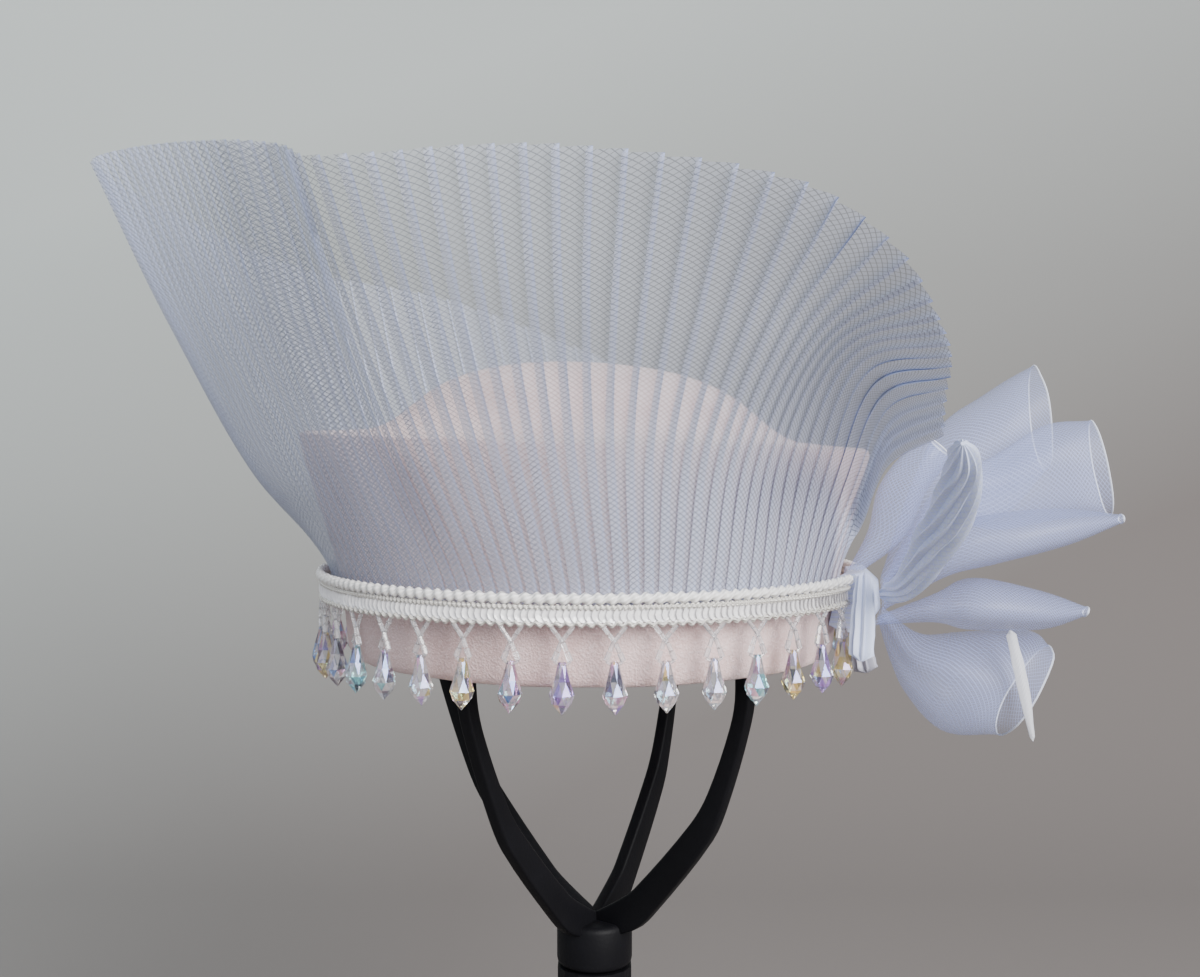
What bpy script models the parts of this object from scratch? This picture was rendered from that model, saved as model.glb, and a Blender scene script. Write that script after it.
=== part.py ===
"""A cocktail hat on a plain folding wig stand.

A felt pillbox with a domed tip carries a pleated crinoline frill, a beaded trim and a bow of plain
crinoline loops. Sizes below are millimetres; the meshes are metres, Z up. The origin is on the floor
in the middle of the footprint. Bearings are degrees round the hat from its front (-Y), positive
towards the bow (+X). Heights of the hat's pieces are measured from its datum, 2 mm above the felt's
sharp shoulder.
"""
import math
from collections import namedtuple

import bmesh
import bpy
from mathutils import Matrix, Vector

MM = 0.001
GAP = 0.3

# Where the hat stands in the footprint. The frill and the bow lean to the right; the crown's base and
# its trim are level, and they and the stand's column stand a little to the right of the frill's axis
AXIS_X = -4.05
AXIS_Y = -1.35
HAT_LEVEL = 330.0
HAT_TILT = 2.0
TILT_HEIGHT = 20.0
BASE_SHIFT = 2.4
STAND_SHIFT = 3.8

# Felt crown: outer profile from the middle of the tip down to the rolled rim
FELT = 2.0
CROWN_SIDES = 32
ProfilePoint = namedtuple("ProfilePoint", "radius height")
CROWN_PROFILE = (
    ProfilePoint(0.0, 22.3),
    ProfilePoint(22.0, 21.0),
    ProfilePoint(38.0, 17.8),
    ProfilePoint(51.0, 10.6),
    ProfilePoint(61.0, 2.8),
    ProfilePoint(70.0, -1.8),
    ProfilePoint(91.6, -3.2),
    ProfilePoint(92.6, -5.2),
    ProfilePoint(81.0, -50.0),
    ProfilePoint(79.3, -66.0),
)
# Too close to their neighbours to be repeated on the inside
OUTSIDE_ONLY = (CROWN_PROFILE[4], CROWN_PROFILE[7])
# The top leans and stands a little to the left, all of it at the shoulder and none at the trim
CROWN_LEAN = 0.032
CROWN_SHIFT = -1.9
LEAN_TOP = -5.2
LEAN_BOTTOM = -50.0
RIM_ROLL = (
    ProfilePoint(78.9, -69.6),
    ProfilePoint(77.2, -71.6),
    ProfilePoint(75.0, -71.0),
    ProfilePoint(74.6, -68.0),
)

# Pleated frill: one strip, sewn on edge round the crown under the trim
PLEATS = 112
FRILL_WALL = 1.4
FOOT_RADIUS = 83.6
FOOT_HEIGHT = -52.5
COLLAR_RADIUS = 84.8
COLLAR_HEIGHT = -43.4
FOOT_FOLD = 0.9
HEM_FOLD = 1.5
RIB_FRACTIONS = (0.0, 0.06, 0.37, 0.69, 1.0)
RIB_STATIONS = (0.0, 0.06, 0.28, 0.52, 0.76, 1.0)
KeyRib = namedtuple("KeyRib", "bearing waist shoulder hem")
KEY_RIBS = (
    KeyRib(66, (85, -50, -24), (85.5, -80, -7), (90.5, -123, 1.6)),
    KeyRib(57, (83, -53, -15), (84, -90, 5.6), (88, -135, 11)),
    KeyRib(48, (73, -69.5, -6.5), (74, -114, 16), (85, -152, 19)),
    KeyRib(38, (58, -85, -6), (64, -128, 22), (79, -162, 28)),
    KeyRib(29, (47, -98, -5), (55, -138, 24), (68, -172, 41)),
    KeyRib(19, (33, -108, -4), (39, -148, 27), (45, -186, 52)),
    KeyRib(0, (-2, -114, -4), (-5, -152, 28), (-6, -184, 58)),
    KeyRib(-22, (-41, -106, -6), (-50, -144, 27), (-56, -178, 55)),
    KeyRib(-30, (-52, -94, -7), (-61, -126, 28), (-67, -158, 61)),
    KeyRib(-45, (-68, -82, -9), (-78, -118, 29), (-85, -145, 64)),
    KeyRib(-75, (-94, -40, -15), (-112, -65, 30), (-128, -80, 73)),
    KeyRib(-92, (-105, -10, -18), (-130, -28, 31), (-151, -38, 76)),
    KeyRib(-125, (-108, 50, -24), (-138, 55, 25), (-157, 48, 76)),
    KeyRib(-155, (-83, 92, -29), (-104, 120, 9), (-119, 132, 63)),
    KeyRib(-185, (-25, 104, -31), (-41, 138, 3), (-59, 176, 55)),
    KeyRib(-215, (29, 98, -32), (26, 138, -3), (24, 190, 26)),
    KeyRib(-240, (63, 74, -32), (79, 120, -19), (102, 175, -9)),
)

# Trim round the base: braid cord, sequin band, loop edging with its bead hangers
TRIM_START = 64.5
TRIM_SWEEP = 334.5
TRIM_STEPS = 40
TRIM_RADIUS = 86.4
TRIM_THICKNESS = 1.5
BRAID_DIAMETER = 2.8
BRAID_HEIGHT = -46.0
BAND_TOP = -47.7
BAND_BOTTOM = -51.6
EDGING_DEPTH = 2.0
HANGER_WALL = 1.1
HANGER_TOP_WIDTH = 7.6
HANGER_WAIST_WIDTH = 2.0
HANGER_WAIST_HEIGHT = -57.2
HANGER_FOOT_WIDTH = 4.8
HANGER_FOOT_HEIGHT = -62.6

# Teardrop crystals
DROPS = 36
FIRST_DROP = 61.0
DROP_PITCH = 9.38
DROP_LENGTH = 14.4
DROP_WIDTH = 7.0
DROP_NECK = 2.2
DROP_BELLY = 0.62
DROP_SIDES = 8

# Gathered end of the frill
GATHER_SECTION = (
    ProfilePoint(80.3, -60.3),
    ProfilePoint(85.0, -62.3),
    ProfilePoint(90.3, -61.9),
    ProfilePoint(94.2, -56.3),
    ProfilePoint(93.8, -48.3),
    ProfilePoint(89.6, -44.3),
    ProfilePoint(83.9, -44.9),
)
GATHER_START = 67.0
GATHER_SWEEP = 21.0
GATHER_STEPS = 4
CordPoint = namedtuple("CordPoint", "place half_width half_depth")
ROLL = (
    CordPoint((94.2, -129, 0), 3.2, 3.4),
    CordPoint((99, -110, -8), 5.2, 5.4),
    CordPoint((101, -90, -20), 6.6, 5.8),
    CordPoint((100, -72, -31), 6.0, 5.6),
    CordPoint((97.8, -54, -42), 4.2, 4.6),
    CordPoint((94.1, -36.9, -47), 2.8, 3.4),
)
ROLL_TWIST = 34.0
TUFT_LIGHT = (
    CordPoint((88.3, -37.9, -40.5), 2.4, 1.8),
    CordPoint((87.2, -44.6, -52), 3.6, 2.3),
    CordPoint((86.4, -47.8, -66), 3.8, 2.2),
)
TUFT_DARK = (
    CordPoint((88.4, -28.4, -60.1), 2.6, 2.4),
    CordPoint((90, -30, -66), 3.4, 2.6),
    CordPoint((91.5, -31, -72), 3.8, 2.8),
)
CORD_LOBES = 5

# Bow: each loop is a flattened tube through a few sections, near end first
BOW_WALL = 1.2
BOW_SIDES = 8
LoopSection = namedtuple("LoopSection", "upper lower half_depth")
BOW = {
    "bow_inner": (
        LoopSection((84.5, -31, -40.3), (89.3, -31, -40.3), 2.2),
        LoopSection((90, -33, -28), (101, -33, -30), 5.0),
        LoopSection((92.5, -35, -14), (107, -35, -15), 6.5),
        LoopSection((100, -37, -3), (111, -37, -8), 5.5),
        LoopSection((107, -38, 1), (113, -38, -4), 3.5),
    ),
    "bow_upper": (
        LoopSection((99.4, -8, -44), (99.8, -8, -48.5), 2.2),
        LoopSection((109, -3, -16), (112, -3, -37), 7.0),
        LoopSection((121, 5, 6), (128, 5, -30), 13.0),
        LoopSection((137, 9, 17.5), (144, 9, -24), 16.0),
        LoopSection((152, 9, 26), (157, 9, -8), 12.0),
    ),
    "bow_small": (
        LoopSection((98.2, -18, -44), (98.6, -18, -48), 2.0),
        LoopSection((112, -23, -16), (114, -23, -27), 5.0),
        LoopSection((132, -22, -4), (134, -22, -27), 7.0),
        LoopSection((148, -20, 6), (152, -20, -24), 9.0),
        LoopSection((162, -20, 8.5), (169, -20, -22), 7.0),
    ),
    "bow_middle": (
        LoopSection((96.4, -27, -49), (96.6, -27, -53), 2.0),
        LoopSection((109, -41, -27), (112, -41, -41), 7.0),
        LoopSection((128, -41, -21), (127, -41, -36.5), 13.0),
        LoopSection((148, -40, -18.5), (148, -40, -30), 10.0),
        LoopSection((166, -38, -20), (166, -38, -22.6), 2.4),
    ),
    "bow_lower": (
        LoopSection((95.3, -28, -54.6), (94.1, -28, -57.6), 1.8),
        LoopSection((110, -39, -46), (110, -39, -54.5), 7.5),
        LoopSection((122, -40, -40.5), (120, -40, -56), 14.0),
        LoopSection((141, -40, -43.5), (141, -40, -55.5), 11.0),
        LoopSection((156, -40, -48.4), (155, -40, -51), 2.4),
    ),
    "bow_bottom": (
        LoopSection((98.4, -16, -53), (97.2, -16, -57), 2.0),
        LoopSection((110, -20, -60.5), (101, -20, -70), 8.0),
        LoopSection((127, -20, -59.5), (106, -20, -79), 15.0),
        LoopSection((145, -21, -58.5), (118, -21, -91), 17.0),
        LoopSection((151, -22, -63), (135, -22, -92), 13.0),
    ),
}
TAIL = (
    CordPoint((132, -42.6, -55.8), 1.5, 0.7),
    CordPoint((136.5, -43, -73), 1.8, 0.7),
    CordPoint((140, -43, -89), 0.7, 0.6),
)

# Folding wig stand: two crossing loops on a stem, two crossing arches below. The loops' outline runs
# from their top down one side; their wide part stands to the left of the column
STAND_BEARINGS = (52.0, -31.0)
LoopPoint = namedtuple("LoopPoint", "radius height width")
LOOP_PROFILE = (
    LoopPoint(0.0, 19.7, 5.6),
    LoopPoint(15.0, 18.4, 5.6),
    LoopPoint(29.0, 13.8, 5.6),
    LoopPoint(41.0, 5.6, 5.6),
    LoopPoint(51.0, -6.0, 5.6),
    LoopPoint(58.6, -21.0, 5.6),
    LoopPoint(64.0, -39.0, 5.6),
    LoopPoint(66.6, -58.0, 5.6),
    LoopPoint(66.5, -80.0, 5.4),
    LoopPoint(63.6, -92.0, 5.2),
    LoopPoint(54.8, -115.0, 6.4),
    LoopPoint(48.0, -128.0, 8.0),
    LoopPoint(25.0, -154.5, 9.5),
    LoopPoint(16.5, -162.0, 10.5),
    LoopPoint(0.0, -168.0, 9.0),
)
LOOP_THICKNESS = 4.4
LOOP_STEP = 0.5
LOOP_SHIFT = -4.5
SHIFT_TOP = -76.0
SHIFT_BOTTOM = -160.0
STEM_RADIUS = 12.4
STEM_TOP = -161.0
STEM_BOTTOM = -176.0
STEM_SIDES = 14
ARCH_THICKNESS = 8.0
COLUMN_BOTTOM = -222.0
ArchPoint = namedtuple("ArchPoint", "outer inner height")
ARCH = (
    ArchPoint(12.0, 0.0, -190.0),
    ArchPoint(15.0, 0.0, -212.0),
    ArchPoint(24.0, 8.0, -238.0),
    ArchPoint(39.0, 24.0, -268.0),
    ArchPoint(58.0, 43.0, -298.0),
    ArchPoint(80.0, 62.0, -326.0),
    ArchPoint(82.0, 64.0, -330.0),
)

# Colour, roughness and metallic value of each finish
Finish = namedtuple("Finish", "colour roughness metallic")
FINISHES = {
    "felt": Finish((0.78, 0.62, 0.55), 0.95, 0.0),
    "crinoline": Finish((0.66, 0.70, 0.84), 0.45, 0.0),
    "crinoline_dark": Finish((0.20, 0.20, 0.25), 0.55, 0.0),
    "braid": Finish((0.86, 0.84, 0.78), 0.40, 0.0),
    "sequin": Finish((0.88, 0.87, 0.84), 0.18, 0.2),
    "metal_thread": Finish((0.62, 0.58, 0.48), 0.35, 0.7),
    "crystal": Finish((0.80, 0.86, 0.95), 0.05, 0.0),
    "satin_white": Finish((0.90, 0.91, 0.93), 0.35, 0.0),
    "stand_black": Finish((0.012, 0.012, 0.014), 0.35, 0.0),
}


def clear_scene():
    for old in list(bpy.data.objects):
        bpy.data.objects.remove(old, do_unlink=True)


def finish_material(name):
    finish = FINISHES[name]
    material = bpy.data.materials.get(name) or bpy.data.materials.new(name)
    material.use_nodes = True
    shader = material.node_tree.nodes["Principled BSDF"]
    shader.inputs["Base Color"].default_value = (*finish.colour, 1.0)
    shader.inputs["Roughness"].default_value = finish.roughness
    shader.inputs["Metallic"].default_value = finish.metallic
    return material


def hat_place():
    """From the hat's own frame in millimetres to the world in metres."""
    lift = Matrix.Translation((AXIS_X, AXIS_Y, HAT_LEVEL + TILT_HEIGHT))
    lean = Matrix.Rotation(math.radians(HAT_TILT), 4, "Y")
    return Matrix.Scale(MM, 4) @ lift @ lean @ Matrix.Translation((0.0, 0.0, -TILT_HEIGHT))


def level_place(shift):
    """From a level frame beside the hat's axis in millimetres to the world in metres."""
    return Matrix.Scale(MM, 4) @ Matrix.Translation((AXIS_X + shift, AXIS_Y, HAT_LEVEL))


def add_piece(name, bm, finish, place, smooth=40.0):
    bmesh.ops.remove_doubles(bm, verts=bm.verts[:], dist=0.001)
    bmesh.ops.recalc_face_normals(bm, faces=bm.faces[:])
    bmesh.ops.transform(bm, matrix=place, verts=bm.verts[:])
    mesh = bpy.data.meshes.new(name)
    bm.to_mesh(mesh)
    bm.free()
    mesh.materials.append(finish_material(finish))
    mesh.shade_smooth()
    mesh.set_sharp_from_angle(angle=math.radians(smooth))
    piece = bpy.data.objects.new(name, mesh)
    bpy.context.scene.collection.objects.link(piece)
    return piece


def around(bearing, radius, height):
    """A point at a bearing round the hat."""
    turn = math.radians(bearing)
    return Vector((radius * math.sin(turn), -radius * math.cos(turn), height))


def flow(keys, values, at):
    """Smooth curve through values at increasing keys, read at one place."""
    last = len(keys) - 1
    index = max(0, min(last - 1, sum(1 for key in keys[1:-1] if key <= at)))

    def slope(i):
        low, high = max(0, i - 1), min(last, i + 1)
        return (values[high] - values[low]) / (keys[high] - keys[low])

    span = keys[index + 1] - keys[index]
    t = (at - keys[index]) / span
    rise = 3 * t * t - 2 * t ** 3
    start = (t ** 3 - 2 * t * t + t) * span
    end = (t ** 3 - t * t) * span
    return (values[index] * (1 - rise) + values[index + 1] * rise
            + slope(index) * start + slope(index + 1) * end)


def offset_inwards(profile, walls):
    """The same profile with each point its own wall further in, towards the middle."""
    inner = []
    for i, point in enumerate(profile):
        before = profile[max(0, i - 1)]
        after = profile[min(len(profile) - 1, i + 1)]
        along = Vector((after.radius - before.radius, after.height - before.height)).normalized()
        inward = Vector((along.y, -along.x)) * walls[i]
        inner.append(ProfilePoint(max(0.0, point.radius + inward.x), point.height + inward.y))
    return inner


def turned(profile, sides):
    """A closed body spun round the hat's axis from an open profile that starts and ends on it."""
    bm = bmesh.new()
    verts = [bm.verts.new((p.radius, 0.0, p.height)) for p in profile]
    edges = [bm.edges.new(pair) for pair in zip(verts, verts[1:])]
    bmesh.ops.spin(bm, geom=verts + edges, cent=(0, 0, 0), axis=(0, 0, 1),
                   angle=math.tau, steps=sides, use_merge=True)
    return bm


def swept(section, start, sweep, steps):
    """A closed body: a section of radii and heights carried round the hat between two bearings."""
    bm = bmesh.new()
    face = bm.faces.new([bm.verts.new(around(start, p.radius, p.height)) for p in section])
    bmesh.ops.spin(bm, geom=[face], cent=(0, 0, 0), axis=(0, 0, 1),
                   angle=-math.radians(sweep), steps=steps)
    return bm


def grid_face(grid):
    """An open sheet through a grid of places."""
    rows, columns = len(grid), len(grid[0])
    bm = bmesh.new()
    bmesh.ops.create_grid(bm, x_segments=columns - 1, y_segments=rows - 1, size=1.0)
    bm.verts.ensure_lookup_table()
    for row in range(rows):
        for column in range(columns):
            bm.verts[row * columns + column].co = grid[row][column]
    return bm


def sheet_from_grid(grid, wall):
    """A wall with an even thickness through a grid of places."""
    bm = grid_face(grid)
    bmesh.ops.remove_doubles(bm, verts=bm.verts[:], dist=0.001)
    bmesh.ops.recalc_face_normals(bm, faces=bm.faces[:])
    bmesh.ops.solidify(bm, geom=bm.faces[:], thickness=wall)
    return bm


def cord_body(points, sides, twist):
    """A bundle through a few places, its outline lobed like a rope and turned a little at each."""
    bm = bmesh.new()
    places = [Vector(point.place) for point in points]
    loops = []
    for i, point in enumerate(points):
        along = (places[min(i + 1, len(places) - 1)] - places[max(i - 1, 0)]).normalized()
        side = along.cross(Vector((0, 1, 0))).normalized()
        depth = along.cross(side)
        ring = []
        for k in range(sides):
            lobe = 1.0 if k % 2 == 0 else 0.74
            turn = math.tau * k / sides + math.radians(twist * i)
            ring.append(bm.verts.new(places[i] + side * (math.cos(turn) * point.half_width * lobe)
                                     + depth * (math.sin(turn) * point.half_depth * lobe)))
        loops.append([bm.edges.new((ring[k], ring[(k + 1) % sides])) for k in range(sides)])
        if i in (0, len(points) - 1):
            bm.faces.new(ring)
    for near, far in zip(loops, loops[1:]):
        bmesh.ops.bridge_loops(bm, edges=near + far)
    return bm


def between(low, high, value):
    """How far a value is from low to high, kept within 0 and 1."""
    return max(0.0, min(1.0, (value - low) / (high - low)))


def crown():
    inner = offset_inwards(CROWN_PROFILE, [FELT] * len(CROWN_PROFILE))
    kept = [point for point, outside in zip(inner, CROWN_PROFILE) if outside not in OUTSIDE_ONLY]
    bm = turned(list(CROWN_PROFILE + RIM_ROLL) + kept[::-1], CROWN_SIDES)
    for vert in bm.verts:
        share = between(LEAN_BOTTOM, LEAN_TOP, vert.co.z)
        vert.co += Vector((CROWN_SHIFT, 0.0, -vert.co.x * CROWN_LEAN)) * share
    return bm


def rib_points(bearing):
    """Foot, collar, waist, shoulder and hem of the frill at one bearing."""
    ribs = sorted(KEY_RIBS)
    keys = [rib.bearing for rib in ribs]
    levelled = hat_place().inverted() @ level_place(BASE_SHIFT)
    foot = levelled @ around(bearing, FOOT_RADIUS, FOOT_HEIGHT)
    collar = levelled @ around(bearing, COLLAR_RADIUS, COLLAR_HEIGHT)
    free = [flow(keys, [Vector(getattr(rib, part)) for rib in ribs], bearing)
            for part in ("waist", "shoulder", "hem")]
    return [foot, collar] + free


def walled(grid, reach):
    """A wall through a grid of places, reaching to both sides along its own grid of directions."""
    columns = len(grid[0])
    bm = grid_face(grid)
    site = bm.verts.layers.int.new("site")
    for vert in bm.verts:
        vert[site] = vert.index
    pushed = bmesh.ops.extrude_face_region(bm, geom=bm.faces[:])
    far = {item for item in pushed["geom"] if isinstance(item, bmesh.types.BMVert)}
    for vert in bm.verts:
        step = reach[vert[site] // columns][vert[site] % columns]
        vert.co += step if vert in far else -step
    return bm


def frill():
    columns = 2 * PLEATS + 1
    first, last = KEY_RIBS[0].bearing, KEY_RIBS[-1].bearing
    bearings = [first + (last - first) * c / (columns - 1) for c in range(columns)]
    smooth = []
    for bearing in bearings:
        points = rib_points(bearing)
        smooth.append([flow(RIB_FRACTIONS, points, station) for station in RIB_STATIONS])
    grid, reach = [], []
    for row, station in enumerate(RIB_STATIONS):
        fold = FOOT_FOLD + (HEM_FOLD - FOOT_FOLD) * station
        line, steps = [], []
        for c in range(columns):
            across = smooth[min(c + 1, columns - 1)][row] - smooth[max(c - 1, 0)][row]
            along = (smooth[c][min(row + 1, len(RIB_STATIONS) - 1)]
                     - smooth[c][max(row - 1, 0)])
            outward = across.cross(along).normalized()
            line.append(smooth[c][row] + outward * (fold if c % 2 else -fold))
            steps.append(outward * FRILL_WALL / 2)
        grid.append(line)
        reach.append(steps)
    return walled(grid, reach)


def braid_cord():
    radius = BRAID_DIAMETER / 2
    centre = TRIM_RADIUS + radius
    section = [ProfilePoint(centre + radius * math.cos(math.tau * k / 6),
                            BRAID_HEIGHT + radius * math.sin(math.tau * k / 6)) for k in range(6)]
    return swept(section, TRIM_START, TRIM_SWEEP, TRIM_STEPS)


def sequin_band():
    outer = TRIM_RADIUS + TRIM_THICKNESS
    section = (
        ProfilePoint(TRIM_RADIUS, BAND_TOP),
        ProfilePoint(TRIM_RADIUS, BAND_BOTTOM),
        ProfilePoint(outer, BAND_BOTTOM),
        ProfilePoint(outer, BAND_TOP),
    )
    return swept(section, TRIM_START, TRIM_SWEEP, TRIM_STEPS)


def drop_bearings():
    return [FIRST_DROP - DROP_PITCH * i for i in range(DROPS)]


def fringe_hangers():
    """The edging as a flat strip with a waisted hanger under each drop, bent round the hat."""
    middle = TRIM_RADIUS + TRIM_THICKNESS / 2
    top = BAND_BOTTOM - GAP
    bottom = top - EDGING_DEPTH
    bm = bmesh.new()

    def rung(place, high, low):
        return bm.verts.new((place, 0.0, high)), bm.verts.new((place, 0.0, low))

    def join(left, right):
        bm.faces.new((left[0], left[1], right[1], right[0]))

    ends = [math.radians(b) * middle for b in (TRIM_START, TRIM_START - TRIM_SWEEP)]
    before = rung(ends[0], top, bottom)
    for bearing in drop_bearings():
        place = math.radians(bearing) * middle
        right = rung(place + HANGER_TOP_WIDTH / 2, top, bottom)
        left = rung(place - HANGER_TOP_WIDTH / 2, top, bottom)
        join(before, right)
        join(right, left)
        waist = [bm.verts.new((place + s * HANGER_WAIST_WIDTH / 2, 0.0, HANGER_WAIST_HEIGHT))
                 for s in (1, -1)]
        foot = [bm.verts.new((place + s * HANGER_FOOT_WIDTH / 2, 0.0, HANGER_FOOT_HEIGHT))
                for s in (1, -1)]
        join((right[1], waist[0]), (left[1], waist[1]))
        join((waist[0], foot[0]), (waist[1], foot[1]))
        before = left
    join(before, rung(ends[1], top, bottom))
    bmesh.ops.recalc_face_normals(bm, faces=bm.faces[:])
    bmesh.ops.solidify(bm, geom=bm.faces[:], thickness=HANGER_WALL)
    depths = [vert.co.y for vert in bm.verts]
    centre = (min(depths) + max(depths)) / 2
    for vert in bm.verts:
        vert.co = around(math.degrees(vert.co.x / middle), middle - vert.co.y + centre, vert.co.z)
    return bm


def drop(bearing):
    """A faceted teardrop hanging under its hanger."""
    top = HANGER_FOOT_HEIGHT - GAP
    profile = (
        ProfilePoint(0.0, top),
        ProfilePoint(DROP_NECK / 2, top),
        ProfilePoint(DROP_WIDTH / 2, top - DROP_LENGTH * DROP_BELLY),
        ProfilePoint(0.0, top - DROP_LENGTH),
    )
    bm = turned(profile, DROP_SIDES)
    bmesh.ops.dissolve_limit(bm, angle_limit=0.01, verts=bm.verts[:], edges=bm.edges[:])
    centre = around(bearing, TRIM_RADIUS + TRIM_THICKNESS / 2, 0.0)
    turn = Matrix.Rotation(math.radians(bearing), 4, "Z")
    bmesh.ops.transform(bm, matrix=Matrix.Translation(centre) @ turn, verts=bm.verts[:])
    return bm


def bow_loop(sections):
    """A flattened tube with open ends through its sections."""
    grid = []
    for k in range(BOW_SIDES + 1):
        turn = math.tau * (k % BOW_SIDES) / BOW_SIDES
        line = []
        for section in sections:
            upper, lower = Vector(section.upper), Vector(section.lower)
            reach = Vector((0.0, -section.half_depth, 0.0))
            line.append((upper + lower) / 2 + (upper - lower) / 2 * math.cos(turn)
                        + reach * math.sin(turn))
        grid.append(line)
    return sheet_from_grid(grid, BOW_WALL)


def extruded(outline, thickness, bearing):
    """A plate standing on its edge along a bearing, from an outline of radii and heights."""
    bm = bmesh.new()
    near = [bm.verts.new((radius, -thickness / 2, height)) for radius, height in outline]
    face = bm.faces.new(near)
    pushed = bmesh.ops.extrude_face_region(bm, geom=[face])
    moved = [item for item in pushed["geom"] if isinstance(item, bmesh.types.BMVert)]
    bmesh.ops.translate(bm, vec=(0.0, thickness, 0.0), verts=moved)
    turn = Matrix.Rotation(math.radians(bearing - 90.0), 4, "Z")
    bmesh.ops.transform(bm, matrix=turn, verts=bm.verts[:])
    return bm


def stand_loop(bearing, step):
    """A closed flat loop: its outline and the same one a width further in, bridged and made thick."""
    bm = bmesh.new()
    edges = []
    inner = offset_inwards(LOOP_PROFILE, [point.width for point in LOOP_PROFILE])
    for side in (LOOP_PROFILE, inner):
        half = [(point.radius, point.height) for point in side]
        half[0] = (0.0, half[0][1] - step)
        half[-1] = (0.0, half[-1][1] + step)
        whole = half + [(-radius, height) for radius, height in half[-2:0:-1]]
        ring = [bm.verts.new((radius, -LOOP_THICKNESS / 2, height)) for radius, height in whole]
        edges += [bm.edges.new((ring[k - 1], ring[k])) for k in range(len(ring))]
    band = bmesh.ops.bridge_loops(bm, edges=edges)["faces"]
    pushed = bmesh.ops.extrude_face_region(bm, geom=band)
    moved = [item for item in pushed["geom"] if isinstance(item, bmesh.types.BMVert)]
    bmesh.ops.translate(bm, vec=(0.0, LOOP_THICKNESS, 0.0), verts=moved)
    turn = Matrix.Rotation(math.radians(bearing - 90.0), 4, "Z")
    bmesh.ops.transform(bm, matrix=turn, verts=bm.verts[:])
    for vert in bm.verts:
        vert.co.x += LOOP_SHIFT * between(SHIFT_BOTTOM, SHIFT_TOP, vert.co.z)
    return bm


def stem(top, bottom):
    bm = bmesh.new()
    bmesh.ops.create_cone(bm, cap_ends=True, segments=STEM_SIDES, radius1=STEM_RADIUS,
                          radius2=STEM_RADIUS, depth=top - bottom)
    bmesh.ops.translate(bm, vec=(0.0, 0.0, (top + bottom) / 2), verts=bm.verts[:])
    return bm


def arch(bearing):
    right = [(p.outer, p.height) for p in ARCH]
    under = [(p.inner, p.height) for p in reversed(ARCH) if p.inner > 0]
    half = right + under
    left = [(-radius, height) for radius, height in reversed(half)]
    return extruded(half + left, ARCH_THICKNESS, bearing)


def unite(piece, guides):
    """Join guides to a piece as one body; the guides themselves stay hidden."""
    for number, guide in enumerate(guides):
        guide.hide_render = True
        guide.display_type = "WIRE"
        union = piece.modifiers.new("join_%d" % number, "BOOLEAN")
        union.operation = "UNION"
        union.solver = "EXACT"
        union.object = guide


def build_hat():
    place = hat_place()
    level = level_place(BASE_SHIFT)
    add_piece("crown", crown(), "felt", level)
    add_piece("frill", frill(), "crinoline", place, smooth=20.0)
    add_piece("frill_gather", swept(GATHER_SECTION, GATHER_START, -GATHER_SWEEP, GATHER_STEPS),
              "crinoline", level)
    add_piece("frill_roll", cord_body(ROLL, 2 * CORD_LOBES, ROLL_TWIST), "crinoline", place)
    add_piece("tuft_light", cord_body(TUFT_LIGHT, 2 * CORD_LOBES, 0.0), "crinoline", place)
    add_piece("tuft_dark", cord_body(TUFT_DARK, 2 * CORD_LOBES, 0.0), "crinoline_dark", place)
    add_piece("braid_cord", braid_cord(), "braid", level)
    add_piece("sequin_band", sequin_band(), "sequin", level)
    add_piece("fringe_hangers", fringe_hangers(), "metal_thread", level)
    for number, bearing in enumerate(drop_bearings(), start=1):
        add_piece("drop_%02d" % number, drop(bearing), "crystal", level, smooth=5.0)
    for name, sections in BOW.items():
        add_piece(name, bow_loop(sections), "crinoline", place)
    add_piece("bow_tail", cord_body(TAIL, 4, 0.0), "satin_white", place)


def build_stand():
    place = level_place(STAND_SHIFT)
    loops = [add_piece("stand_top" if i == 0 else "loop_guide", stand_loop(bearing, i * LOOP_STEP),
                       "stand_black", place, smooth=30.0)
             for i, bearing in enumerate(STAND_BEARINGS)]
    stem_guide = add_piece("stem_guide", stem(STEM_TOP, STEM_BOTTOM), "stand_black", place)
    unite(loops[0], [loops[1], stem_guide])
    column = add_piece("stand_base", stem(STEM_BOTTOM - GAP, COLUMN_BOTTOM), "stand_black", place)
    arches = [add_piece("arch_guide", arch(bearing), "stand_black", place)
              for bearing in STAND_BEARINGS]
    unite(column, arches)


clear_scene()
build_hat()
build_stand()
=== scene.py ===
import math
import random
from collections import namedtuple

import bmesh
import bpy
from mathutils import Matrix, Vector, noise


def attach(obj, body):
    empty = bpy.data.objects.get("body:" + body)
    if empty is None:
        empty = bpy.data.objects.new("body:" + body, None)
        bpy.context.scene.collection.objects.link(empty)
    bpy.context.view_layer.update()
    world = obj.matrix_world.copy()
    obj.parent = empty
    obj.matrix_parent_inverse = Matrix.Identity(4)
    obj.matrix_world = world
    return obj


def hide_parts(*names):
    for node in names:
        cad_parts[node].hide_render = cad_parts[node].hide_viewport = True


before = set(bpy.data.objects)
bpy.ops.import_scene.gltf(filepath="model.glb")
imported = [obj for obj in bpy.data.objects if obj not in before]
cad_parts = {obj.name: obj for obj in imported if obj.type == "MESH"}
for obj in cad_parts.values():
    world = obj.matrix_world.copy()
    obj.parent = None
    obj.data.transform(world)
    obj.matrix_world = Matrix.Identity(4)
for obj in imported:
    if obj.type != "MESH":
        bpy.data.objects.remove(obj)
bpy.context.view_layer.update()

MM = 0.001

# How the hat sits on its stand
AXIS_X = -4.05
AXIS_Y = -1.35
HAT_LEVEL = 330.0
HAT_TILT = 2.0
TILT_HEIGHT = 20.0
BASE_SHIFT = 2.4
STAND_SHIFT = 3.8

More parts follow.
